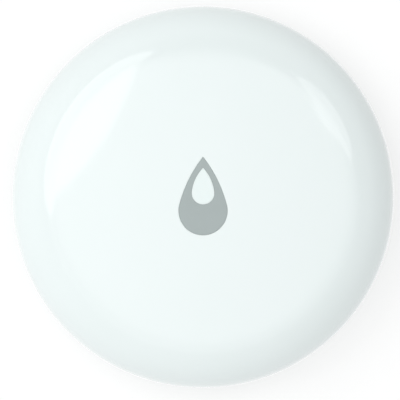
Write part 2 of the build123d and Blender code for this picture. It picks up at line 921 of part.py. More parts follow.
def radio_chip():
    top = board_top + radio_height
    x, y = on_board(radio_shares)
    chip = block(radio_width, radio_width, board_top, top, x, y)
    chip = chamfer(chip.faces().sort_by(Axis.Z)[-1].edges(), chip_chamfer)
    corner = radio_width / 2 - pin_mark_margin
    mark = cylinder(pin_mark_radius, top - pin_mark_depth, top, x - corner, y + corner)
    return chip - mark


def crystal_can():
    rim_top_z = board_top + crystal_height - crystal_lid
    x, y = on_board(crystal_shares)
    can = block(crystal_length, crystal_width, board_top, rim_top_z, x, y)
    can = fillet(can.edges().filter_by(Axis.Z), crystal_lid)
    lid_length = crystal_length - 2 * crystal_lid
    lid_width = crystal_width - 2 * crystal_lid
    lid = block(lid_length, lid_width, rim_top_z, rim_top_z + crystal_lid, x, y)
    return can + lid


def memory_chip():
    top = board_top + memory_height
    chip = block(memory_length, memory_width, board_top, top, *on_board(memory_shares))
    return chamfer(chip.faces().sort_by(Axis.Z)[-1].edges(), chip_chamfer)


def chip_resistors():
    high = board_top + resistor_height
    x, y = on_board(resistor_shares)
    places = [x + i * resistor_pitch for i in range(resistor_count)]
    return joined([block(resistor_width, resistor_length, board_top, high, at, y) for at in places])


def chip_capacitors():
    high = board_top + capacitor_height
    x, y = on_board(capacitor_shares)
    places = [x + i * capacitor_pitch for i in range(capacitor_count)]
    return joined([block(capacitor_width, capacitor_length, board_top, high, at, y) for at in places])


def antenna_trace():
    """A printed aerial: an arc along the board's edge with a feed leg and a ground leg."""
    top = board_top + copper_thickness
    antenna_radius = board_radius - antenna_inset
    outer = antenna_radius + antenna_width / 2
    inner = antenna_radius - antenna_width / 2
    trace_arc = arc_of_ring(outer, inner, board_top, top, 90, antenna_arc)
    middle = antenna_radius - antenna_leg_length / 2
    leg = block(antenna_leg_length, antenna_width, board_top, top, middle)
    first = 90 - antenna_arc / 2 + antenna_leg_angle / 2
    legs = [Rot(0, 0, angle) * leg for angle in (first, first + 2 * antenna_leg_angle)]
    return joined([trace_arc] + legs)


def test_pads():
    high = board_top + copper_thickness
    x, y = on_board(pad_shares)
    places = [x + i * pad_pitch for i in range(pad_count)]
    return joined([cylinder(pad_radius, board_top, high, at, y) for at in places])


nodes = {
    "top_cover": top_cover,
    "base_shell": base_shell,
    "housing_gasket": housing_gasket,
    "battery_door": battery_door,
    "battery_door_seal": battery_door_seal,
    "cell_can": cell_can,
    "cell_gasket": cell_gasket,
    "cell_cap": cell_cap,
    "cell_core": cell_core,
    "positive_contacts": positive_contacts,
    "negative_contact": negative_contact,
    "circuit_board": circuit_board,
    "board_screws": board_screws,
    "probe_left": probe_left,
    "probe_right": probe_right,
    "probe_seals": probe_seals,
    "probe_nuts": probe_nuts,
    "drop_button": drop_button,
    "indicator_window": indicator_window,
    "button_membrane": button_membrane,
    "membrane_clamp": membrane_clamp,
    "switch_body": switch_body,
    "switch_plate": switch_plate,
    "switch_terminals": switch_terminals,
    "switch_snap_dome": switch_snap_dome,
    "switch_stem": switch_stem,
    "indicator_led": indicator_led,
    "radio_chip": radio_chip,
    "crystal_can": crystal_can,
    "memory_chip": memory_chip,
    "chip_resistors": chip_resistors,
    "chip_capacitors": chip_capacitors,
    "antenna_trace": antenna_trace,
    "test_pads": test_pads,
}

os.makedirs("parts", exist_ok=True)
for name, build in nodes.items():
    export_step(build(), f"parts/{name}.step")
print("diameter", round(2 * housing_radius, 3), "height", round(cover_top, 3), "nodes", len(nodes))
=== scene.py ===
import json
import math

import bmesh
import bpy
import numpy as np
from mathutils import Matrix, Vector


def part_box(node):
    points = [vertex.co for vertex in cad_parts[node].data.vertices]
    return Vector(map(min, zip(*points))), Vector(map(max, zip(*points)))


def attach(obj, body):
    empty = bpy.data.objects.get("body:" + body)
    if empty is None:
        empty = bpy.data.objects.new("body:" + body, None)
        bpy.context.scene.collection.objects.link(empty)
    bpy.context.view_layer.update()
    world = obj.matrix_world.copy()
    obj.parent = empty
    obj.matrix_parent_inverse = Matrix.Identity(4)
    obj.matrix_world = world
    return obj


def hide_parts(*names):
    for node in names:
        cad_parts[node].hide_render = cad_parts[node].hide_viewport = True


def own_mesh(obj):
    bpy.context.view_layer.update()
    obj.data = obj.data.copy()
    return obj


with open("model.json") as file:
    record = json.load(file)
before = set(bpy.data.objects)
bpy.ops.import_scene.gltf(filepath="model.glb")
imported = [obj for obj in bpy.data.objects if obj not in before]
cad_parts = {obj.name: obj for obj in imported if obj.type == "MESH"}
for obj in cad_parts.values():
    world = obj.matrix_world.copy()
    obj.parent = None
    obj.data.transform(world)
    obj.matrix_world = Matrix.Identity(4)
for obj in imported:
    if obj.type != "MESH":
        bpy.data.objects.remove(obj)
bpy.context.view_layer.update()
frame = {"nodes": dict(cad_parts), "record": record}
print("frame loaded:", len(frame["nodes"]), "nodes")

# Lengths are in millimetres here and become metres where a mesh is made. The point of the drop faces +Y.
metre = 0.001
columns = 360  # one column a degree, so that column 90 is the point of the drop
turn = np.radians(np.arange(columns) * 360 / columns)
smallTurn, tinyTurn = turn[::6], turn[::12]  # small round parts need fewer columns
quarter = np.radians(np.linspace(90, 0, 5))  # where the rings of a rounded edge lie on its quarter circle
barRows = 9  # cross sections along a straight bar
sunk = 0.1  # an added solid reaches this far into what carries it
softEdge = 0.1  # rounding of a plain moulded edge
mergeDistance = 1e-7  # in metres: seams and poles of a grid fall together
sharpAngle = 32  # a steeper fold between two faces shows as an edge
recessShadeStart = 0.4  # painted shade: a screw's cross is already this dark at its mouth


# Shapes

def polar(radius, angle):
    # x = radius cos angle, y = radius sin angle
    return np.column_stack(np.broadcast_arrays(radius * np.cos(angle), radius * np.sin(angle)))


def spot(radius, degrees):
    # one point, with its angle in degrees
    return polar(radius, np.radians([degrees]))[0]


def circle(radius):
    return polar(radius, turn)


def ring(outline, height):
    # an outline lifted to a height, or to one height for each of its points
    return np.column_stack([outline, np.broadcast_to(height, len(outline))])


def between(outlineA, outlineB, share):
    # the outline that far from A towards B, point by point
    return outlineA + share * (outlineB - outlineA)


def arc(centreX, centreZ, radius, start, end, steps):
    # points of a circle in the half section, from one angle to another, in degrees
    angle = np.radians(np.linspace(start, end, steps + 1))
    return np.column_stack([centreX + radius * np.cos(angle), centreZ + radius * np.sin(angle)])


def rounded(points, steps=4):
    # A section path of (radius, height, rounding). Each inner corner becomes an arc that touches both its
    # sides: its centre is on the line that halves the corner, rounding / sin(half the corner's angle) away.
    path = [np.array(points[0][:2])[None]]
    for before, at, after in zip(points, points[1:], points[2:]):
        corner, radius = np.array(at[:2]), at[2]
        if not radius:
            path.append(corner[None])
            continue
        back = np.array(before[:2]) - corner
        onward = np.array(after[:2]) - corner
        back, onward = back / np.linalg.norm(back), onward / np.linalg.norm(onward)
        half = math.acos(np.clip(back @ onward, -1, 1)) / 2
        middle = (back + onward) / np.linalg.norm(back + onward)
        centre = corner + middle * radius / math.sin(half)
        first = corner + back * radius / math.tan(half) - centre
        last = corner + onward * radius / math.tan(half) - centre
        sweep = math.pi - 2 * half
        share = np.linspace(0, 1, steps + 1)[:, None]
        swing = np.sin((1 - share) * sweep) * first + np.sin(share * sweep) * last
        path.append(centre + swing / math.sin(sweep))
    path.append(np.array(points[-1][:2])[None])
    return np.vstack(path)


def lathe(section, x=0.0, y=0.0, angles=turn):
    # each point (radius, height) of the section goes round the axis at (x, y)
    radius, height = section[:, 0, None], section[:, 1, None]
    level = np.broadcast_to(height, (len(section), len(angles)))
    return np.stack([x + radius * np.cos(angles), y + radius * np.sin(angles), level], -1)


def capped(rings):
    # closes both ends of a run of rings with one point in the middle of each end
    first, last = rings[0].mean(0), rings[-1].mean(0)
    ends = [np.broadcast_to(point, rings[0].shape)[None] for point in (first, last)]
    return np.concatenate([ends[0], rings, ends[1]])


def arcBlocks(inner, outer, low, high, middles, width, steps=12):
    # a rectangle of the half section carried round the axis through an angle, once about each middle
    bend = softEdge / 2
    corners = [(inner, low), (outer, low, bend), (outer, high, bend), (inner, high, bend), (inner, low)]
    section = rounded(corners, 1)[:-1]
    blocks = []
    for middle in middles:
        angle = np.radians(middle + np.linspace(-width / 2, width / 2, steps + 1))
        rings = [ring(polar(section[:, 0], a), section[:, 1]) for a in angle]
        blocks.append((capped(np.stack(rings)), False, True))
    return blocks


def bars(start, end, halfWidth, low, high, angles):
    # straight bars that point away from the axis: low and high may change along their length
    along = np.linspace(start, end, barRows)
    low, high = np.broadcast_to(low, barRows), np.broadcast_to(high, barRows)
    across = np.array([-halfWidth, halfWidth, halfWidth, -halfWidth])
    heights = np.column_stack([low, low, high, high])
    blocks = []
    for a in np.radians(angles):
        places = [(r * np.cos(a) - across * np.sin(a), r * np.sin(a) + across * np.cos(a)) for r in along]
        rings = [np.column_stack([x, y, height]) for (x, y), height in zip(places, heights)]
        blocks.append((capped(np.stack(rings)), False, True))
    return blocks


def post(section, x, y):
    # a small turned solid whose section starts and ends on its own axis
    return lathe(section, x, y, smallTurn), False, True


def gridFaces(rows, wide, wrapRows, wrapColumns):
    # each face joins four neighbours of the grid, going round where the grid closes on itself
    lastRow, lastColumn = rows if wrapRows else rows - 1, wide if wrapColumns else wide - 1
    i, j = np.meshgrid(np.arange(lastRow), np.arange(lastColumn), indexing="ij")
    iNext, jNext = (i + 1) % rows, (j + 1) % wide
    corners = [i * wide + j, i * wide + jNext, iNext * wide + jNext, iNext * wide + j]
    return np.stack(corners, -1).reshape(-1, 4)


def makePiece(name, shells, body, slot, replaced):
    # joins the grids into one closed mesh, with its seams and poles merged and its faces turned outwards
    points, faces, count = [], [], 0
    for grid, wrapRows, wrapColumns in shells:
        faces.append(gridFaces(grid.shape[0], grid.shape[1], wrapRows, wrapColumns) + count)
        points.append(grid.reshape(-1, 3) * metre)
        count += grid.shape[0] * grid.shape[1]
    mesh = bpy.data.meshes.new(name)
    mesh.from_pydata(np.vstack(points).tolist(), [], np.vstack(faces).tolist())
    work = bmesh.new()
    work.from_mesh(mesh)
    bmesh.ops.remove_doubles(work, verts=work.verts, dist=mergeDistance)
    bmesh.ops.recalc_face_normals(work, faces=work.faces)
    work.to_mesh(mesh)
    work.free()
    mesh.shade_smooth()
    mesh.set_sharp_from_angle(angle=math.radians(sharpAngle))
    piece = bpy.data.objects.new(name, mesh)
    bpy.context.scene.collection.objects.link(piece)
    piece.data.materials.append(finishes[slot])
    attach(piece, body)
    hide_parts(replaced)
    print("made", name, len(mesh.polygons), "faces")
    return piece


# Finishes

def linearColour(hexColour):
    # sRGB hex to the linear colour that a shader wants
    channels = [int(hexColour[i:i + 2], 16) / 255 for i in (1, 3, 5)]
    return [c / 12.92 if c <= 0.04045 else ((c + 0.055) / 1.055) ** 2.4 for c in channels] + [1.0]


def addNode(tree, kind, settings, links=None):
    # A node with its settings, which are sockets where it has one of that name, and its links. A link comes
    # from a socket, or from the first socket of a node.
    node = tree.nodes.new("ShaderNode" + kind)
    for name, value in settings.items():
        if isinstance(name, int) or name in node.inputs:
            node.inputs[name].default_value = value
        else:
            setattr(node, name, value)
    for name, source in (links or {}).items():
        socket = source.outputs[0] if isinstance(source, bpy.types.Node) else source
        tree.links.new(socket, node.inputs[name])
    return node


def emptyMaterial(name):
    material = bpy.data.materials.new(name)
    material.use_nodes = True
    material.node_tree.nodes.clear()
    return material, material.node_tree


def millimetres(tree):
    # Object coordinates, one unit to the millimetre
    place = addNode(tree, "TexCoord", {})
    return addNode(tree, "Mapping", {"Scale": (1 / metre,) * 3}, {"Vector": place.outputs["Object"]})


def driftingColour(tree, position, look, detail):
    # the colour turns into its shade and back over patches of some millimetres
    patches = {"Scale": 1 / look["patch"], "Detail": detail}
    drift = addNode(tree, "TexNoise", patches, {"Vector": position})
    colours = {6: linearColour(look["colour"]), 7: linearColour(look["shade"])}
    return addNode(tree, "Mix", {"data_type": "RGBA", **colours}, {0: drift}).outputs[2]


def turnedAbout(tree, position, centreX, centreY):
    # Rings about an upright axis at (centreX, centreY) and at (-centreX, centreY): the coordinate becomes the
    # distance from the nearer axis, and the height.
    parts = addNode(tree, "SeparateXYZ", {}, {0: position})
    side = addNode(tree, "Math", {"operation": "ABSOLUTE"}, {0: parts})
    folded = addNode(tree, "CombineXYZ", {}, {0: side, 1: parts.outputs[1]})
    axis = {"operation": "SUBTRACT", 1: (centreX, centreY, 0)}
    centred = addNode(tree, "VectorMath", axis, {0: folded})
    away = addNode(tree, "VectorMath", {"operation": "LENGTH"}, {0: centred})
    return addNode(tree, "CombineXYZ", {}, {0: away.outputs["Value"], 2: parts.outputs[2]})


def paintedRecessShade(tree, place, colour, recess):
    # Painted shade: the punched cross of a screw head is painted darker the deeper it goes, as shade falls
    # in it. It lies within a radius of the screw's axis, between the heights of its mouth and its floor.
    mouth, floor = recess["mouth"], recess["floor"]
    parts = addNode(tree, "SeparateXYZ", {}, {0: place})
    share = addNode(tree, "Math", {"operation": "LESS_THAN", 1: recess["radius"]}, {0: parts})
    span = {"operation": "COMPARE", 1: (mouth + floor) / 2, 2: abs(mouth - floor) / 2}
    inside = addNode(tree, "Math", span, {0: parts.outputs[2]})
    fall = {"From Min": mouth, "From Max": floor, "To Min": recessShadeStart}
    depth = addNode(tree, "MapRange", fall, {"Value": parts.outputs[2]})
    for factor in (inside, depth):
        share = addNode(tree, "Math", {"operation": "MULTIPLY"}, {0: share, 1: factor})
    dark = {"data_type": "RGBA", 7: linearColour(recess["colour"])}
    return addNode(tree, "Mix", dark, {0: share, 6: colour}).outputs[2]


def finishSurface(tree, look, colour, patches, bump):
    # the shader: its roughness runs between two limits in patches
    low, high = look["roughness"]
    gloss = addNode(tree, "MapRange", {"To Min": low, "To Max": high}, {"Value": patches})
    links = {"Base Color": colour, "Roughness": gloss, "Normal": bump}
    shader = addNode(tree, "BsdfPrincipled", look["sockets"], links)
    addNode(tree, "OutputMaterial", {}, {"Surface": shader})


def makeFinish(look):
    # A moulded, turned or rolled surface: its colour drifts a little over some millimetres, its gloss varies
    # in patches, and its grain is a bump as deep and as wide as the real one.
    material, tree = emptyMaterial(look["name"])
    position = millimetres(tree)
    colour = driftingColour(tree, position, look, detail=3.0)
    grainPlace = position
    if "axis" in look:
        grainPlace = turnedAbout(tree, position, *look["axis"])
        # the screw's cross gets painted shade, darker with depth
        if "recess" in look:
            colour = paintedRecessShade(tree, grainPlace, colour, look["recess"])
    if "stretch" in look:
        grainPlace = addNode(tree, "Mapping", {"Scale": look["stretch"]}, {"Vector": grainPlace})
    noise = {"Scale": 1 / look["grain"], "Detail": 4.0, "Roughness": 0.6}
    grain = addNode(tree, "TexNoise", noise, {"Vector": grainPlace})
    bump = addNode(tree, "Bump", {"Distance": look["depth"] * metre}, {"Height": grain})
    finishSurface(tree, look, colour, grain, bump)
    return material


looks = {}

# Plastics. IOR 1.53 is ABS. A spark-eroded mould leaves a fine grain, a polished one only a soft wave.
looks["cover_plastic"] = dict(  # faint mint white, deep gloss
    name="polishedAbsCover", colour="#E2EAEA", shade="#E0E9E8", patch=9.0, grain=1.8, depth=0.0006,
    roughness=(0.05, 0.09), sockets={"IOR": 1.5},
)
looks["base_plastic"] = dict(  # soft sheen, no mirror
    name="sparkErodedAbsBase", colour="#E3E9E8", shade="#DEE5E4", patch=6.0, grain=0.16, depth=0.006,
    roughness=(0.38, 0.55), sockets={"IOR": 1.53},
)
looks["door_plastic"] = dict(  # a shade greyer than the base
    name="sparkErodedAbsDoor", colour="#E0E6E5", shade="#DAE1E0", patch=5.0, grain=0.2, depth=0.008,
    roughness=(0.42, 0.6), sockets={"IOR": 1.53},
)
looks["key_plastic"] = dict(  # even pale grey, soft highlight
    name="satinAbsKey", colour="#9CA6A6", shade="#98A3A2", patch=2.5, grain=0.12, depth=0.0012,
    roughness=(0.2, 0.28), sockets={"IOR": 1.5},
)
looks["window_plastic"] = dict(  # light seems to soak in a little
    name="milkyAcrylicWindow", colour="#E2ECEB", shade="#DFE9E8", patch=2.0, grain=1.2, depth=0.0005,
    roughness=(0.05, 0.1),
    sockets={
        "IOR": 1.49, "Subsurface Weight": 0.35, "Subsurface Radius": (0.4, 0.4, 0.4),
        "Subsurface Scale": 0.0008,
    },
)
looks["clamp_nylon"] = dict(  # waxy, a little yellow
    name="naturalNylonClamp", colour="#DCDACC", shade="#D2CFBF", patch=2.0, grain=0.25, depth=0.004,
    roughness=(0.4, 0.55), sockets={"IOR": 1.53, "Subsurface Weight": 0.2, "Subsurface Scale": 0.0006},
)
looks["cell_gasket_plastic"] = dict(  # dark and slightly waxy
    name="polypropyleneRing", colour="#3A4044", shade="#333A3E", patch=1.5, grain=0.2, depth=0.003,
    roughness=(0.4, 0.5), sockets={"IOR": 1.49},
)
looks["switch_plastic"] = dict(  # matt black with glassy specks
    name="mouldedSwitchNylon", colour="#191919", shade="#222222", patch=0.8, grain=0.08, depth=0.004,
    roughness=(0.45, 0.62), sockets={"IOR": 1.53},
)
looks["chip_epoxy"] = dict(  # grey-black, filler grains
    name="mouldedEpoxyChip", colour="#1D1D1F", shade="#28282A", patch=0.6, grain=0.06, depth=0.003,
    roughness=(0.5, 0.7), sockets={"IOR": 1.55},
)
looks["led_resin"] = dict(  # glassy over a pale yellow chip
    name="clearLampResin", colour="#EFEBC9", shade="#E8E2B4", patch=0.5, grain=0.5, depth=0.0005,
    roughness=(0.06, 0.12), sockets={"IOR": 1.54, "Subsurface Weight": 0.3, "Subsurface Scale": 0.0005},
)

# Rubbers: no mirror, a broad soft sheen
looks["membrane_silicone"] = dict(  # milky and soft
    name="castSilicone", colour="#D2D8D8", shade="#C8CFCF", patch=2.0, grain=0.3, depth=0.004,
    roughness=(0.4, 0.5), sockets={"IOR": 1.41, "Subsurface Weight": 0.3, "Subsurface Scale": 0.001},
)
looks["gasket_silicone"] = dict(  # dull grey cord
    name="greySiliconeGasket", colour="#8D9494", shade="#858C8C", patch=2.0, grain=0.25, depth=0.004,
    roughness=(0.45, 0.55), sockets={"IOR": 1.41},
)
looks["seal_rubber"] = dict(  # black with a faint bloom
    name="blackNitrileSeal", colour="#1B1B1C", shade="#242425", patch=1.0, grain=0.12, depth=0.003,
    roughness=(0.4, 0.5), sockets={"IOR": 1.52},
)

# Metals keep the default IOR. The axis is that of a turned part, the stretch runs along the rolling.
looks["stainless_steel"] = dict(  # bright, fine rings
    name="turnedStainless", colour="#C3C6C6", shade="#B9BCBD", patch=1.5, grain=0.05, depth=0.0015,
    roughness=(0.16, 0.3), axis=(11.11, -14.22), stretch=(1, 1, 0.1),
    # recess colour: painted shade in the screw's punched cross, darkest at its floor
    recess=dict(radius=1.2, mouth=0.05, floor=0.75, colour="#5F6162"), sockets={"Metallic": 1.0},
)
looks["zinc_steel"] = dict(  # bluish, slightly cloudy
    name="zincPlatedScrew", colour="#AEB4BA", shade="#A2A9B0", patch=0.8, grain=0.08, depth=0.001,
    roughness=(0.25, 0.4), axis=(11.11, 14.22),
    # recess colour: painted shade in the screw's punched cross, darkest at its floor
    recess=dict(radius=1.2, mouth=9.35, floor=8.65, colour="#5A5F63"), sockets={"Metallic": 1.0},
)
looks["nickel_strip"] = dict(  # warm grey, rolled lines
    name="nickelSpringStrip", colour="#C9C5BA", shade="#C0BBAF", patch=1.5, grain=0.06, depth=0.0008,
    roughness=(0.22, 0.34), stretch=(0.05, 1, 1), sockets={"Metallic": 1.0},
)
looks["cell_steel"] = dict(  # circular brush marks
    name="brushedCellSteel", colour="#C3C3C3", shade="#B8B8B8", patch=3.0, grain=0.07, depth=0.0012,
    roughness=(0.2, 0.36), axis=(0, 0), sockets={"Metallic": 1.0},
)
looks["brass"] = dict(  # satin yellow
    name="turnedBrassNut", colour="#D0AE62", shade="#C4A055", patch=0.8, grain=0.06, depth=0.001,
    roughness=(0.2, 0.34), axis=(11.11, -14.22), sockets={"Metallic": 1.0},
)
looks["gold_finish"] = dict(  # fine-grained pale gold
    name="immersionGold", colour="#DDB565", shade="#D2A856", patch=0.6, grain=0.05, depth=0.0008,
    roughness=(0.25, 0.38), sockets={"Metallic": 1.0},
)
looks["crystal_metal"] = dict(  # plain soft mirror
    name="platedCrystalLid", colour="#C9C6BF", shade="#BFBCB5", patch=0.8, grain=0.08, depth=0.0006,
    roughness=(0.18, 0.28), stretch=(0.1, 1, 1), sockets={"Metallic": 1.0},
)

# Powders and ceramics
looks["cell_mass"] = dict(  # dull, granular
    name="pressedCellMass", colour="#1A1A1A", shade="#262524", patch=0.5, grain=0.05, depth=0.01,
    roughness=(0.75, 0.9), sockets={"IOR": 1.6},
)
looks["resistor_ceramic"] = dict(  # black glass glaze
    name="glazedResistor", colour="#1A1A1E", shade="#232328", patch=0.3, grain=0.1, depth=0.001,
    roughness=(0.15, 0.25), sockets={"IOR": 1.55},
)
looks["capacitor_ceramic"] = dict(  # tan biscuit, dull
    name="firedCapacitor", colour="#B5946D", shade="#A88760", patch=0.3, grain=0.06, depth=0.002,
    roughness=(0.4, 0.55), sockets={"IOR": 1.6},
)

solderMaskBoard = dict(
    name="solderMaskBoard", bare="#0F5A39", overCopper="#2B7F57", rise=0.03, trackPitch=0.9, trackShare=0.3,
    field=4.5, uprightAbove=0.5, routedAbove=0.35, roughness=(0.25, 0.38), sockets={"IOR": 1.5},
)


def makeBoardFinish(look):
    # Green lacquer over glass fibre: tracks show as lighter, raised lines under it. Square fields of a cell
    # pattern choose whether a field's tracks run along X or along Y, or whether it has none.
    material, tree = emptyMaterial(look["name"])
    position = millimetres(tree)
    parts = addNode(tree, "SeparateXYZ", {}, {0: position})
    cells = {"distance": "CHEBYCHEV", "Scale": 1 / look["field"], "Randomness": 0.6}
    fields = addNode(tree, "TexVoronoi", cells, {"Vector": position})
    choice = addNode(tree, "SeparateColor", {}, {0: fields.outputs["Color"]})
    turning = {"operation": "GREATER_THAN", 1: look["uprightAbove"]}
    upright = addNode(tree, "Math", turning, {0: choice})
    directions = {0: upright, 2: parts.outputs[0], 3: parts.outputs[1]}
    across = addNode(tree, "Mix", {"data_type": "FLOAT"}, directions)
    steps = addNode(tree, "Math", {"operation": "DIVIDE", 1: look["trackPitch"]}, {0: across})
    saw = addNode(tree, "Math", {"operation": "FRACT"}, {0: steps})
    line = addNode(tree, "Math", {"operation": "LESS_THAN", 1: look["trackShare"]}, {0: saw})
    filled = {"operation": "GREATER_THAN", 1: look["routedAbove"]}
    routed = addNode(tree, "Math", filled, {0: choice.outputs[1]})
    track = addNode(tree, "Math", {"operation": "MULTIPLY"}, {0: line, 1: routed})
    lacquer = {"data_type": "RGBA", 6: linearColour(look["bare"]), 7: linearColour(look["overCopper"])}
    colour = addNode(tree, "Mix", lacquer, {0: track}).outputs[2]
    flow = addNode(tree, "TexNoise", {"Scale": 2.0, "Detail": 3.0}, {"Vector": position})
    bump = addNode(tree, "Bump", {"Distance": look["rise"] * metre}, {"Height": track})
    finishSurface(tree, look, colour, flow, bump)
    return material


finishes = {slot: makeFinish(look) for slot, look in looks.items()}
finishes["board_laminate"] = makeBoardFinish(solderMaskBoard)
print("made", len(finishes), "finishes")

# Every node of the frame takes the finish of its slot. Those with a smooth piece below are replaced by it.
for part in frame["record"]["subparts"]:
    for materialSlot in frame["nodes"][part["node"]].material_slots:
        materialSlot.material = finishes[part["material_slot"]]


# The drop, the crown and what they share

keyDrop = dict(roundRadius=3.15, pointHeight=6.95, sideRadius=17.0, y=-1.78)
windowDrop = dict(roundRadius=1.48, pointHeight=3.3, sideRadius=5.6, y=0.5)
dropMiddle = 0.72  # the rays that all the drops are measured on start at this Y


def dropOutline(drop, grow):
    # A drop is a round end and two arcs that touch it and meet in the point. Along each ray from the middle
    # the nearer arc counts above where the arcs touch the round end, and the round end below that.
    end, side, point = drop["roundRadius"], drop["sideRadius"], drop["pointHeight"]
    rise = (point**2 + end**2 - 2 * side * end) / (2 * point)
    reach = math.sqrt((side - end)**2 - rise**2)
    rayX, rayY = np.cos(turn), np.sin(turn)

    def rayLength(x, y, radius):
        # distance along the ray to a circle that it starts inside of
        ahead = rayX * x + rayY * (y - dropMiddle)
        return ahead + np.sqrt(ahead**2 - x**2 - (y - dropMiddle)**2 + radius**2)

    sides = np.minimum(*[rayLength(x, drop["y"] + rise, side + grow) for x in (-reach, reach)])
    touchY = drop["y"] - (end + grow) * rise / (side - end)
    length = np.where(dropMiddle + sides * rayY > touchY, sides, rayLength(0, drop["y"], end + grow))
    return np.column_stack([length * rayX, dropMiddle + length * rayY])


coverShape = dict(
    radius=25.0, top=15.0, edge=5.2, sideTop=5.5, shoulder=7.5, wall=1.5, edgeRound=0.12,
    holeGrow=0.015, holeRound=0.03, fieldRadius=9.0, fieldRings=15, crownRings=25, landLow=13.0, landRings=5,
    skirtLow=3.6, skirtOuter=23.4, skirtInner=22.3, skirtRound=0.15,
    rootTop=6.2, rootRound=0.2, rootSlope=0.9, rootLean=16.1,
    underInset=0.5, underRings=9, collarOuter=9.3, collarInner=8.75, collarLow=11.3,
    bossInner=7.4, bossLow=12.15,
    sixths=(0, 60, 120, 180, 240, 300), beadAngle=16.0, beadLow=4.0, beadTop=4.35, beadRise=0.3,
    ribHalf=0.4, ribDepth=0.8, ribLength=5.5,
)
stakeShape = dict(
    angles=(90, 210, 330), circle=10.1, radius=1.1, neck=0.7, headRound=0.2,
    low=9.93, headTop=10.43, neckTop=11.3, top=13.1,
)
shoulderX = coverShape["radius"] - coverShape["shoulder"]
crownRise = coverShape["top"] - coverShape["sideTop"]
# the crown is the sphere that the shoulder's arc touches from inside
crownRadius = shoulderX**2 + crownRise**2 - coverShape["shoulder"]**2
crownRadius /= 2 * (crownRise - coverShape["shoulder"])
crownMiddle = coverShape["top"] - crownRadius
crownLean = math.degrees(math.atan2(coverShape["sideTop"] - crownMiddle, shoulderX))
crownEdge = shoulderX + coverShape["shoulder"] * math.cos(math.radians(crownLean))


def crownHeight(outline, inset=0.0):
    # the sphere of the crown, or one as far inside it as the inset
    return crownMiddle + np.sqrt((crownRadius - inset)**2 - (outline**2).sum(-1))


def onCrown(outline):
    return ring(outline, crownHeight(outline))


def edgeRings(drop, grow, radius, rising):
    # A rounded edge between a wall that follows the drop and the crown. Going round the quarter circle by an
    # angle, the ring steps in from the wall by radius (1 - sin) and down from the crown by radius (1 - cos).
    away = 1 if rising else -1  # a hole's edge opens outwards, a key's edge closes inwards
    rings = []
    for angle in quarter:
        outline = dropOutline(drop, grow + away * radius * (1 - math.sin(angle)))
        rings.append(ring(outline, crownHeight(outline) - radius * (1 - math.cos(angle))))
    return rings


# Cover: one closed shell round the drop's opening, with beads, ribs and stakes inside

def makeCover(shape, stake):
    # Outside: the drop's edge widens into a circle, then the crown, the shoulder's arc and the side follow.
    # Inside: the skirt, the same arcs set in by the wall, the collar and the land round the opening.
    hole = dropOutline(keyDrop, shape["holeGrow"])
    rings = [ring(hole, shape["landLow"])] + edgeRings(keyDrop, shape["holeGrow"], shape["holeRound"], True)
    rim = dropOutline(keyDrop, shape["holeGrow"] + shape["holeRound"])
    field = shape["fieldRadius"]
    for share in np.linspace(0, 1, shape["fieldRings"])[1:]:
        rings.append(onCrown(between(rim, circle(field), share)))
    for radius in np.linspace(field, crownEdge, shape["crownRings"])[1:]:
        rings.append(onCrown(circle(radius)))
    sideTop, shoulder = shape["sideTop"], shape["shoulder"]
    outer = arc(shoulderX, sideTop, shoulder, crownLean, 0, steps=56)[1:]
    wide, edge, low, bend = shape["radius"], shape["edge"], shape["skirtLow"], shape["skirtRound"]
    outside, inside = shape["skirtOuter"], shape["skirtInner"]
    root, slope = shape["rootTop"], shape["rootSlope"]
    skirt = rounded([
        (wide, sideTop), (wide, edge, shape["edgeRound"]), (outside, edge, 0), (outside, low, bend),
        (inside, low, bend), (inside, root, shape["rootRound"]), (inside + slope, root + slope),
    ])[1:]
    inner = arc(shoulderX, sideTop, shoulder - shape["wall"], shape["rootLean"], crownLean, steps=24)
    outerCollar, innerCollar, low = shape["collarOuter"], shape["collarInner"], shape["collarLow"]
    boss = shape["bossInner"]
    reach = np.linspace(crownEdge - shape["underInset"], outerCollar, shape["underRings"])[:, None]
    under = np.column_stack([reach, crownHeight(reach, shape["wall"])])
    collar = rounded([
        tuple(under[-1]), (outerCollar, low, softEdge), (innerCollar, low, softEdge),
        (innerCollar, shape["bossLow"], 0), (boss, shape["bossLow"], softEdge), (boss, shape["landLow"]),
    ])[1:]
    rings += list(lathe(np.vstack([outer, skirt, inner, under, collar])))
    for share in np.linspace(0, 1, shape["landRings"])[1:-1]:
        rings.append(ring(between(circle(boss), hole, share), shape["landLow"]))
    shells = [(np.stack(rings), True, True)]
    # snap beads on the skirt, and ribs under the crown
    bead = (outside - sunk, outside + shape["beadRise"], shape["beadLow"], shape["beadTop"])
    shells += arcBlocks(*bead, shape["sixths"], shape["beadAngle"])
    first, last = outerCollar - sunk, outerCollar + shape["ribLength"]
    high = crownHeight(np.linspace(first, last, barRows)[:, None], shape["wall"] - sunk)
    shells += bars(first, last, shape["ribHalf"], high - shape["ribDepth"] - sunk, high, shape["sixths"])
    wide, neck, low = stake["radius"], stake["neck"], stake["low"]
    headTop, neckTop, top = stake["headTop"], stake["neckTop"], stake["top"]
    rivet = rounded([
        (0, low), (wide, low, stake["headRound"]), (wide, headTop, softEdge / 2), (neck, headTop, 0),
        (neck, neckTop, 0), (wide, neckTop, 0), (wide, top, 0), (0, top),
    ])
    shells += [post(rivet, *spot(stake["circle"], angle)) for angle in stake["angles"]]
    makePiece("coverShell", shells, "housing", "cover_plastic", "top_cover")


makeCover(coverShape, stakeShape)

# Key and window: both tops follow the crown, both flanges sit under it

keyShape = dict(
    edgeRound=0.04, holeRound=0.02, topRings=13, flange=6.0, flangeRound=0.15, flangeTop=12.95, low=12.15,
)
windowShape = dict(
    grow=-0.01, edgeRound=0.03, topMiddle=(0, 1.12), topRings=9,
    foot=0.5, footGap=0.01, footTop=12.55, low=12.15,
)


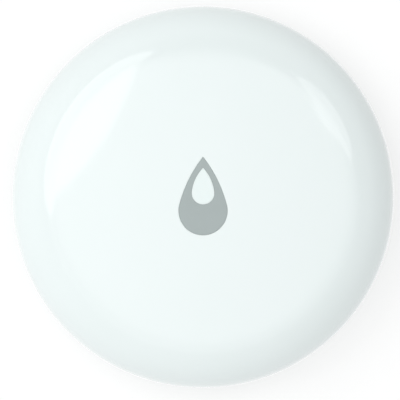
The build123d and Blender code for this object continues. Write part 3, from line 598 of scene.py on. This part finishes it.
def makeKey(shape, window):
    # Rings go from the window's edge over the top to the drop's edge, down its wall, out over the round
    # flange, back under it, and up through the window's hole, so that the last ring meets the first.
    rings = edgeRings(windowDrop, 0.0, shape["holeRound"], True)
    innerRim = dropOutline(windowDrop, shape["holeRound"])
    outerRim = dropOutline(keyDrop, -shape["edgeRound"])
    for share in np.linspace(0, 1, shape["topRings"])[1:-1]:
        rings.append(onCrown(between(innerRim, outerRim, share)))
    rings += edgeRings(keyDrop, 0.0, shape["edgeRound"], False)[::-1]
    wide, top, low, bend = shape["flange"], shape["flangeTop"], shape["low"], shape["flangeRound"]
    rings.append(ring(dropOutline(keyDrop, 0.0), top))
    rings += list(lathe(rounded([(0, top), (wide, top, bend), (wide, low, bend), (0, low)])[1:-1]))
    foot, hole = dropOutline(windowDrop, window["foot"] + window["footGap"]), dropOutline(windowDrop, 0.0)
    rings += [ring(foot, low), ring(foot, window["footTop"]), ring(hole, window["footTop"])]
    makePiece("dropKey", [(np.stack(rings), True, True)], "button", "key_plastic", "drop_button")


def makeWindow(shape):
    # a column with the drop's outline: its top is the crown, and a wider foot holds it in the key
    rim = dropOutline(windowDrop, shape["grow"] - shape["edgeRound"])
    middle, shares = np.array(shape["topMiddle"]), np.linspace(0, 1, shape["topRings"])[:-1]
    rings = [onCrown(between(middle, rim, share)) for share in shares]
    rings += edgeRings(windowDrop, shape["grow"], shape["edgeRound"], False)[::-1]
    wall, foot = [dropOutline(windowDrop, grow) for grow in (shape["grow"], shape["foot"] - shape["footGap"])]
    rings += [ring(wall, shape["footTop"]), ring(foot, shape["footTop"]), ring(foot, shape["low"])]
    rings.append(ring(between(foot, np.array([0, dropMiddle]), 1.0), shape["low"]))  # one point
    makePiece("lightWindow", [(np.stack(rings), False, True)], "button", "window_plastic", "indicator_window")


makeKey(keyShape, windowShape)
makeWindow(windowShape)

# Base: turned shell with two probe holes, and the bosses, lips and walls that stand in it. The two fields
# round a probe are given by their inner radius, outer radius and number of rings.

baseShape = dict(
    radius=24.85, low=0.5, plateTop=2.0, rimTop=5.05, rimRound=0.12, sideRadius=6.0,
    bottomRound=0.5, bottomRoundAngle=7, bottomField=(15.3, 20.9, 7), topField=(15.9, 21.0, 7),
    rimInner=23.5, grooveFloor=2.8, upstandOuter=22.2, upstandInner=21.3, upstandTop=4.8,
    pocketLow=3.75, pocketTop=4.55, pocketDepth=0.3, pocketAngle=17.0,
    recess=14.35, recessRound=0.12, seatRing=15.75,
    lip=11.4, lipTop=3.2, notch=12.15, lipAngles=(30, 150, 270), lipWidth=90,
    stopAngles=(135, 255, 15), stopShifts=(16.2, -61.2), stopTop=4.25, stopWidth=5,
    chamber=(12.3, 13.4), chamberTop=6.6, wallAngles=(90, 270), wallWidth=157,
    guideReach=10.35, guideLow=4.55, guideTop=5.65, guideAngles=(45, 135, 225, 315), guideWidth=14,
    corner=18.05, probeAngles=(308, 232), screwAngles=(52, 128), boardLow=7.2, boardTop=8.2,
    holeWindow=10, holeRings=5, headHole=2.4, headDepth=1.4, sealHole=2.05, bore=1.4, boreLow=2.05,
    probeBoss=3.0, screwBoss=2.4, screwHole=0.97, screwFloor=3.5, foot=1.8, footRound=0.3,
    webStart=2.2, webHalf=0.45, keyPost=19.3, keyPostHalf=1.0, keyPostAngle=180,
    markCircle=15.8, markRadius=0.55, markRise=0.2, hoopWall=0.3, hoopRound=0.08,
    closedAngle=180, openAngle=135,
)


def fieldWithHole(shape, angle, bottomRadii, topRadii):
    # The plate round a probe, both its faces and the stepped hole between them. The border of each face runs
    # along the outer arc, a radial side, the inner arc and the other radial side, and each ring of the hole
    # has one point on the line from the probe's axis to each border point.
    angles = np.radians(np.arange(angle - shape["holeWindow"], angle + shape["holeWindow"] + 1))
    centre = spot(shape["corner"], angle)
    low, head, depth, seal = shape["low"], shape["headHole"], shape["headDepth"], shape["sealHole"]

    def border(radii):
        outerArc, innerArc = polar(radii[-1], angles), polar(radii[0], angles[::-1])
        sides = polar(radii[-2:0:-1], angles[-1]), polar(radii[1:-1], angles[0])
        return np.vstack([outerArc, sides[0], innerArc, sides[1]])

    def spokes(outline):
        away = outline - centre
        return away / np.linalg.norm(away, axis=1)[:, None]

    lowBorder, highBorder = border(bottomRadii), border(topRadii)
    lowSpokes, highSpokes = spokes(lowBorder), spokes(highBorder)
    lowHole, highHole = centre + lowSpokes * (head + softEdge), centre + highSpokes * seal
    shares = np.linspace(0, 1, shape["holeRings"])
    bend = 0.3 * softEdge  # 1 - cos 45 degrees: the hole's rounded edge has one row at its middle
    rings = [ring(between(lowBorder, lowHole, share), low) for share in shares]
    rows = [(head + bend, low + bend), (head, low + softEdge), (head, depth), (seal, depth)]
    rings += [ring(centre + lowSpokes * radius, height) for radius, height in rows]
    rings += [ring(between(highHole, highBorder, share), shape["plateTop"]) for share in shares]
    return np.stack(rings), False, True


def rimPockets(shape):
    # The rim's inner wall from its top to the groove's floor: between two heights it is deeper, but only in
    # the columns that lie within half a pocket's angle of a bead, so elsewhere the doubled rows merge.
    pitch = 360 / len(coverShape["sixths"])
    fromBead = np.abs((np.degrees(turn) + pitch / 2) % pitch - pitch / 2)
    depth = np.where(fromBead < shape["pocketAngle"] / 2, shape["pocketDepth"], 0.0)
    low, top, wall = shape["pocketLow"], shape["pocketTop"], shape["rimInner"]
    return [ring(polar(wall + deep, turn), z) for deep, z in ((0, top), (depth, top), (depth, low), (0, low))]


def makeBase(shape):
    # The outer strip goes from the bottom round the curved side, over the rim and its groove to the plate's
    # top, the inner strip from there over the seat ring down to the bottom again. Plain sectors and the
    # fields with the probe holes close the plate between them.
    low, plate, lipTop, board = shape["low"], shape["plateTop"], shape["lipTop"], shape["boardLow"]
    wide, rimInner, rimTop = shape["radius"], shape["rimInner"], shape["rimTop"]
    upOuter, upInner, upTop = shape["upstandOuter"], shape["upstandInner"], shape["upstandTop"]
    bottomRadii, topRadii = np.linspace(*shape["bottomField"]), np.linspace(*shape["topField"])
    floor = shape["grooveFloor"]
    sideX = wide - shape["sideRadius"]
    lean = math.degrees(math.asin((rimTop - low) / shape["sideRadius"]))
    flat = sideX + shape["sideRadius"] * math.cos(math.radians(lean))
    side = arc(sideX, rimTop, shape["sideRadius"], shape["bottomRoundAngle"] - lean, 0, steps=30)
    lower = rounded([(bottomRadii[-1], low), (flat, low, shape["bottomRound"]), tuple(side[0])], steps=8)
    rim = rounded([
        tuple(side[-2]), (wide, rimTop, shape["rimRound"]), (rimInner, rimTop, softEdge),
        (rimInner, shape["pocketTop"]),
    ])[:-1]
    upper = rounded([
        (rimInner, shape["pocketLow"]), (rimInner, floor, 0), (upOuter, floor, 0), (upOuter, upTop, softEdge),
        (upInner, upTop, softEdge), (upInner, plate, 0), (topRadii[-1], plate),
    ])
    seat, notch, recess = shape["seatRing"], shape["notch"], shape["recess"]
    inner = rounded([
        (topRadii[0], plate), (seat, plate, 0), (seat, lipTop, softEdge), (notch, lipTop, 0),
        (notch, plate, 0), (recess, plate, 0), (recess, low, shape["recessRound"]), (bottomRadii[0], low),
    ])
    outside = lathe(np.vstack([lower[:-1], side[:-2], rim]))
    strip = np.concatenate([outside, rimPockets(shape), lathe(upper[1:])])
    shells = [(strip, False, True), (lathe(inner), False, True)]
    shells += [fieldWithHole(shape, angle, bottomRadii, topRadii) for angle in shape["probeAngles"]]
    right, left = shape["probeAngles"]
    window = shape["holeWindow"]
    for start, end in ((left + window, right - window), (right + window, left + 360 - window)):
        angles = np.radians(np.arange(start, end + 1))
        for radii, height in ((bottomRadii, low), (topRadii, plate)):
            section = np.column_stack([radii, np.full(len(radii), height)])
            shells.append((lathe(section, angles=angles), False, False))
    seal, boss, bore, stem = shape["sealHole"], shape["probeBoss"], shape["bore"], plate - sunk
    probeBoss = rounded([
        (seal, stem), (boss, stem, 0), (boss, board, softEdge), (bore, board, softEdge),
        (bore, shape["boreLow"], 0), (seal, shape["boreLow"]),
    ])
    for angle in shape["probeAngles"]:
        shells.append((lathe(probeBoss, *spot(shape["corner"], angle), smallTurn), True, True))
    boss, bore, end = shape["screwBoss"], shape["screwHole"], shape["screwFloor"]
    screwBoss = rounded([
        (0, stem), (boss, stem, 0), (boss, board, softEdge), (bore, board, softEdge),
        (bore, end, 0), (0, end),
    ])
    pad = shape["foot"]
    foot = rounded([(0, 0), (pad, 0, shape["footRound"]), (pad, low + sunk, 0), (0, low + sunk)], steps=8)
    for angle in shape["screwAngles"]:
        shells += [post(part, *spot(shape["corner"], angle)) for part in (screwBoss, foot)]
    web = (shape["corner"] + shape["webStart"], upInner + sunk, shape["webHalf"], stem, upTop)
    shells += bars(*web, shape["probeAngles"] + shape["screwAngles"])
    keyPost = (shape["keyPost"], upInner + sunk, shape["keyPostHalf"], stem, shape["boardTop"])
    shells += bars(*keyPost, [shape["keyPostAngle"]])  # stands in the board's notch
    lip = (shape["lip"], notch + sunk, plate, lipTop)  # between the notches
    shells += arcBlocks(*lip, shape["lipAngles"], shape["lipWidth"], steps=45)
    wall, wallLow = shape["chamber"], shape["guideLow"]
    collar = [(wall[0], lipTop - sunk), (wall[1], lipTop - sunk), (wall[1], wallLow), (wall[0], wallLow)]
    shells.append((lathe(np.array(collar)), True, True))
    half = (*wall, wallLow - sunk / 2, shape["chamberTop"])  # the wall is open at both side contacts
    shells += arcBlocks(*half, shape["wallAngles"], shape["wallWidth"], steps=80)
    guide = (shape["guideReach"], wall[0] + sunk, wallLow, shape["guideTop"])
    shells += arcBlocks(*guide, shape["guideAngles"], shape["guideWidth"])
    stop = (shape["lip"] + sunk, wall[0] + sunk, lipTop - sunk, shape["stopTop"])
    shifted = [angle + shift for angle in shape["stopAngles"] for shift in shape["stopShifts"]]
    shells += arcBlocks(*stop, shifted, shape["stopWidth"], steps=4)  # beside each locked lug and each notch
    size, bend, bottom, top = shape["markRadius"], shape["hoopRound"], low - shape["markRise"], low + sunk
    bore = size - shape["hoopWall"]
    dot = rounded([(0, bottom), (size, bottom, softEdge), (size, top, 0), (0, top)])
    hoop = [(bore, top), (bore, bottom, bend), (size, bottom, bend), (size, top, 0), (bore, top)]
    shells.append(post(dot, *spot(shape["markCircle"], shape["closedAngle"])))
    place = spot(shape["markCircle"], shape["openAngle"])
    shells.append((lathe(rounded(hoop)[:-1], *place, tinyTurn), True, True))
    makePiece("baseShell", shells, "housing", "base_plastic", "base_shell")


makeBase(baseShape)

# Battery door: a turned cup with three lugs, a seal groove and a coin slot in its face

doorShape = dict(
    face=0.6, flange=14.2, flangeTop=1.9, edgeRound=0.3, fieldRadius=9.0,
    grooveOuter=13.7, grooveInner=12.3, grooveLow=1.15,
    hub=11.2, top=4.25, cup=10.25, cupLow=2.2,
    slotLength=15.0, slotWidth=2.0, slotTop=1.5, slotRound=0.12, slotShares=(0, 0.3, 0.6, 0.9, 1),
    faceRings=7,
    lugReach=12.0, lugLow=3.25, lugAngles=(135, 255, 15), lugAngle=26.0,
    pointerCircle=11.6, pointerSize=0.75, pointerTrim=1.7, pointerRise=0.15,
    pointerFlat=0.85, pointerRound=0.04,
)


def slotOutline(length, width, grow):
    # a slot with round ends: along each ray its straight side, or the end's circle past where that starts
    half, straight = width / 2 + grow, (length - width) / 2
    cosine, sine = np.abs(np.cos(turn)), np.abs(np.sin(turn))
    flat = half / np.maximum(sine, 1e-9)  # along the slot itself no side is met
    ahead = straight * cosine
    end = ahead + np.sqrt(np.maximum(ahead**2 - straight**2 + half**2, 0))
    return np.where(flat * cosine < straight, flat, end)[:, None] * circle(1.0)


def pointer(shape):
    # A low triangle that points away from the middle at the locked mark. Along each ray its side lies at
    # size / cos(angle from the side's middle), and a circle trims the corners.
    size, low, high = shape["pointerSize"], shape["face"] - shape["pointerRise"], shape["face"] + sunk
    sixth = math.pi / 3
    fromSide = (turn + sixth) % (2 * sixth) - sixth
    middle = np.array([-shape["pointerCircle"], 0])
    outline = middle + np.minimum(size / np.cos(fromSide), shape["pointerTrim"] * size)[:, None] * circle(1.0)
    flat, bend = shape["pointerFlat"], shape["pointerRound"]
    rows = [(0.0, low), (flat, low), (1.0, low + bend), (1.0, high), (0.0, high)]
    return np.stack([ring(between(middle, outline, share), z) for share, z in rows]), False, True


def makeDoor(shape):
    # Rings start in the middle of the slot's floor, climb out of the slot, widen into circles across the
    # face, and go round the flange, its groove, the hub and the cup to the middle of the cup's floor.
    def slot(grow):
        return slotOutline(shape["slotLength"], shape["slotWidth"], grow)

    face, field, edge = shape["face"], shape["fieldRadius"], shape["slotRound"]
    rings = [ring(slot(0) * share, shape["slotTop"]) for share in shape["slotShares"]]
    for angle in quarter:
        rings.append(ring(slot(edge * (1 - math.sin(angle))), face + edge * (1 - math.cos(angle))))
    for share in np.linspace(0, 1, shape["faceRings"])[1:]:
        rings.append(ring(between(slot(edge), circle(field), share), face))
    flange, back, groove = shape["flange"], shape["flangeTop"], shape["grooveLow"]
    outer, inner, hub, top = shape["grooveOuter"], shape["grooveInner"], shape["hub"], shape["top"]
    section = rounded([
        (field, face), (flange, face, shape["edgeRound"]), (flange, back, softEdge), (outer, back, 0),
        (outer, groove, 0), (inner, groove, 0), (inner, back, 0), (hub, back, 0), (hub, top, softEdge),
        (shape["cup"], top, softEdge), (shape["cup"], shape["cupLow"], 0), (0, shape["cupLow"]),
    ], steps=6)
    rings += list(lathe(section[1:]))
    shells = [(np.stack(rings), False, True)]
    lug = (hub - sunk, shape["lugReach"], shape["lugLow"], top)
    shells += arcBlocks(*lug, shape["lugAngles"], shape["lugAngle"], steps=26)
    shells.append(pointer(shape))
    makePiece("batteryDoor", shells, "door", "door_plastic", "battery_door")


makeDoor(doorShape)

# Snap dome: a thin cap of sprung strip under the switch's stem, which the key flattens; it is made at rest

snapShape = dict(sheet=0.08, pressedShare=0.2, rings=13)


def makeSnapDome(shape):
    # Two spheres about one centre, a sheet apart and cut flat where they stand on the switch's floor. The
    # outer one's radius is (reach squared + rise squared) / (2 rise).
    low, high = (np.array(corner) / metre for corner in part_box("switch_snap_dome"))
    x, y = (low[:2] + high[:2]) / 2
    reach, rise = (high[0] - low[0]) / 2, high[2] - low[2]
    radius = (reach**2 + rise**2) / (2 * rise)
    centre, inside = high[2] - radius, radius - shape["sheet"]
    outerReach = np.linspace(0, reach, shape["rings"])
    innerReach = np.linspace(math.sqrt(inside**2 - (low[2] - centre)**2), 0, shape["rings"])
    outer = np.column_stack([outerReach, centre + np.sqrt(radius**2 - outerReach**2)])
    inner = np.column_stack([innerReach, centre + np.sqrt(inside**2 - innerReach**2)])
    section = np.vstack([outer, inner])
    piece = makePiece("snapDome", [post(section, x, y)], "housing", "nickel_strip", "switch_snap_dome")
    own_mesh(piece)


makeSnapDome(snapShape)

# Floor, light and camera

def makeFloor(look):
    # A plain pale sheet. For the camera a share of it is plain white, more with the distance, and the rest
    # keeps the shadow. It is clear from below, so that the underside can be seen.
    half = look["size"] / 2
    mesh = bpy.data.meshes.new("floorSheet")
    corners = [(-half, -half, 0), (half, -half, 0), (half, half, 0), (-half, half, 0)]
    mesh.from_pydata(corners, [], [(0, 1, 2, 3)])
    floor = bpy.data.objects.new("floorSheet", mesh)
    bpy.context.scene.collection.objects.link(floor)
    material, tree = emptyMaterial("whitePaper")
    position = millimetres(tree)
    colour = driftingColour(tree, position, look, detail=4.0)
    paper = addNode(tree, "BsdfDiffuse", {}, {"Color": colour})
    white = addNode(tree, "Emission", {"Color": (1, 1, 1, 1)})
    path = addNode(tree, "LightPath", {})
    away = addNode(tree, "VectorMath", {"operation": "LENGTH"}, {0: position})
    fade = {"From Min": look["near"], "From Max": look["far"], "To Min": look["whiteShare"]}
    whiter = addNode(tree, "MapRange", fade, {"Value": away.outputs["Value"]})
    factors = {0: whiter, 1: path.outputs["Is Camera Ray"]}
    share = addNode(tree, "Math", {"operation": "MULTIPLY"}, factors)
    mix = addNode(tree, "MixShader", {}, {0: share, 1: paper, 2: white})
    side = addNode(tree, "NewGeometry", {})
    clear = addNode(tree, "BsdfTransparent", {})
    sheet = addNode(tree, "MixShader", {}, {0: side.outputs["Backfacing"], 1: mix, 2: clear})
    addNode(tree, "OutputMaterial", {}, {"Surface": sheet})
    floor.data.materials.append(material)
    floor.visible_diffuse = False  # its light comes from the world, so that the underside is lit as well
    floor.visible_glossy = False
    floor.visible_shadow = False


makeFloor(dict(size=3.0, colour="#FAFBFB", shade="#F7F8F8", patch=2.0, whiteShare=0.55, near=25.0, far=80.0))


def makeLamp(look):
    # A soft box that faces a point on the floor. Its level is the brightness that a mirror would show: the
    # power of a flat lamp is level * pi * area, and a disc fills pi / 4 of the square round it.
    light = bpy.data.lights.new(look["name"], "AREA")
    light.shape = look["shape"]
    width, height = look["size"]
    light.size, light.size_y = width, height
    area = width * height * math.pi / 4
    light.energy = look["level"] * math.pi * area
    lamp = bpy.data.objects.new(look["name"], light)
    lamp.location = look["place"]
    direction = (Vector(look["aim"]) - lamp.location).normalized()
    lamp.rotation_euler = direction.to_track_quat("-Z", "Y").to_euler()
    lamp.visible_camera = False
    bpy.context.scene.collection.objects.link(lamp)


# wideBox hangs a little above topDisc, because two lamps in one plane would take light from each other
lamps = [
    dict(name="topDisc", shape="DISK", size=(1.3, 1.3), level=0.72,
         place=(-0.01, 0.0, 1.2), aim=(-0.01, 0.0, 0)),
    dict(name="wideBox", shape="ELLIPSE", size=(2.4, 1.88), level=0.6,
         place=(0.0, -0.31, 1.25), aim=(0.0, -0.31, 0)),
    dict(name="leftBox", shape="ELLIPSE", size=(0.9, 0.6), level=1.95,
         place=(-0.516, 0.322, 0.74), aim=(0, 0, 0)),
    dict(name="cornerBox", shape="DISK", size=(0.42, 0.42), level=1.7,
         place=(0.528, 0.343, 0.777), aim=(0, 0, 0)),
]
for look in lamps:
    makeLamp(look)


def makeWorld(look):
    # Even room light from above, brighter from one side, and from below the light of a white floor that is in
    # the object's own shade right under it. The camera sees plain white. Gloss and glass see it too, from the
    # floor up to the horizon, and above that a ceiling that is brighter on its lit side.
    world = bpy.data.worlds.new("whiteRoom")
    world.use_nodes = True
    tree = world.node_tree
    tree.nodes.clear()
    direction = addNode(tree, "TexCoord", {}).outputs["Generated"]
    height = addNode(tree, "SeparateXYZ", {}, {0: direction}).outputs["Z"]
    end = look["floorEnd"]
    ground = {"From Min": -1.0, "From Max": end, "To Min": look["under"], "To Max": look["floor"]}
    below = addNode(tree, "MapRange", ground, {"Value": height})
    walls = {"From Min": end, "From Max": look["wallTop"], "To Max": look["fill"]}
    fill = addNode(tree, "MapRange", walls, {"Value": height, "To Min": below})
    sides = []
    for side in (look["room"], look["ceiling"]):
        towards = {"operation": "DOT_PRODUCT", 1: (*spot(1.0, side["bearing"]), 0)}
        facing = addNode(tree, "VectorMath", towards, {0: direction})
        limits = {"From Min": -1.0, "To Min": side["dark"], "To Max": side["bright"]}
        sides.append(addNode(tree, "MapRange", limits, {"Value": facing.outputs["Value"]}))
    litSide, ceiling = sides
    lit = addNode(tree, "Math", {"operation": "MULTIPLY"}, {0: fill, 1: litSide})
    above = {"From Min": look["whiteUpTo"], "From Max": look["ceilingFrom"], "To Min": look["horizon"]}
    shown = addNode(tree, "MapRange", above, {"Value": height, "To Max": ceiling})
    path = addNode(tree, "LightPath", {})
    rays = {0: path.outputs["Is Glossy Ray"], 1: path.outputs["Is Transmission Ray"]}
    mirrored = addNode(tree, "Math", {"operation": "ADD", "use_clamp": True}, rays)
    level = addNode(tree, "Mix", {"data_type": "FLOAT"}, {0: mirrored, 2: lit, 3: shown})
    seen = {0: path.outputs["Is Camera Ray"], 2: level}
    level = addNode(tree, "Mix", {"data_type": "FLOAT", 3: 1.0}, seen)
    room = addNode(tree, "Background", {"Color": (1, 1, 1, 1)}, {"Strength": level})
    addNode(tree, "OutputWorld", {}, {"Surface": room})
    bpy.context.scene.world = world


# Bearings are in degrees from +X. The other numbers are heights of a direction, from -1 to 1, and levels.
makeWorld(dict(
    under=0.5, floor=1.0, floorEnd=-0.1, fill=0.35, wallTop=0.45,
    horizon=1.1, whiteUpTo=0.35, ceilingFrom=0.75,
    room=dict(bearing=204, dark=0.85, bright=1.45),
    ceiling=dict(bearing=235, dark=0.32, bright=1.18),
))
bpy.context.scene.view_settings.view_transform = "Standard"

cameraSettings = dict(lens=400.0, sensor=36.0, frameWidth=52.48, above=(-0.394, -0.394, 5.5))


def makeCamera(settings):
    # straight above, far enough away that the dome's sides are seen as in the photograph
    data = bpy.data.cameras.new("aboveCamera")
    data.lens, data.sensor_width = settings["lens"], settings["sensor"]
    distance = settings["frameWidth"] * settings["lens"] / settings["sensor"]
    camera = bpy.data.objects.new("aboveCamera", data)
    x, y, z = settings["above"]  # the middle of the frame, on the plane where frameWidth is measured
    camera.location = (x * metre, y * metre, (z + distance) * metre)
    bpy.context.scene.collection.objects.link(camera)
    bpy.context.scene.camera = camera


makeCamera(cameraSettings)
print("set floor, light and camera")
